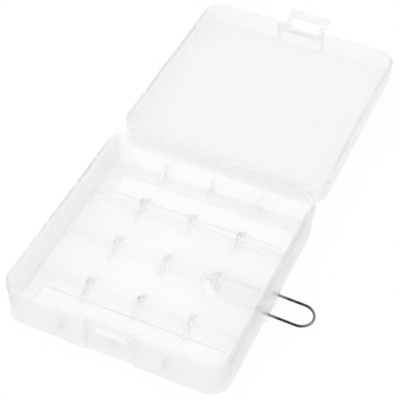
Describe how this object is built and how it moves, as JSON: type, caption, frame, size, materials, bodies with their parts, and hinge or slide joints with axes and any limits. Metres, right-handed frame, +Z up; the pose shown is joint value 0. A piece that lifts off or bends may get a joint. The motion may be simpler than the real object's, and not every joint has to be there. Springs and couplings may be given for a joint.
{
  "type": "flip-lid battery storage case",
  "caption": "Shallow see-through plastic case with a bending-web lid, finned channels for round battery cells lying side by side, a windowed clasp flap and a swinging wire hanging bail",
  "frame": {"origin": "centre of the bottom of the whole case as it lies open, on the floor under its feet", "axes": "+X across the case towards its wire bail, +Y from the tray's front to the open lid, +Z up"},
  "size_m": [0.0864, 0.1688, 0.0147],
  "materials": {
    "milky_plastic": "milky see-through polypropylene, satin with a soft shine",
    "web_plastic": "the same polypropylene, thinned to a web that bends",
    "steel_wire": "bare drawn steel wire, darkly shining"
  },
  "bodies": {
    "base": {"base_tray": "milky_plastic", "cell_dividers": "milky_plastic", "cradle_fins": "milky_plastic", "wall_fins": "milky_plastic", "hook_pocket": "milky_plastic", "catch_bar": "milky_plastic", "hinge_web_base": "web_plastic"},
    "lid": {"lid_shell": "milky_plastic", "hinge_web_lid": "web_plastic", "clasp_web_lid": "web_plastic"},
    "clasp": {"clasp_flap": "milky_plastic", "clasp_web_flap": "web_plastic"},
    "bail": {"wire_bail": "steel_wire"}
  },
  "joints": [
    {"name": "lid_hinge", "type": "hinge", "parent": "base", "child": "lid", "pos_m": [-0.0067, -0.00502, 0.01475], "axis": [1, 0, 0], "range_deg": [0, 179.8]},
    {"name": "clasp_hinge", "type": "hinge", "parent": "lid", "child": "clasp", "pos_m": [-0.0067, 0.07333, 0.0117], "axis": [1, 0, 0], "range_deg": [0, 80]},
    {"name": "bail_pivot", "type": "hinge", "parent": "base", "child": "bail", "pos_m": [0.0262, -0.04512, 0.0025], "axis": [0, 1, 0], "range_deg": [-2.5, 178]}
  ]
}
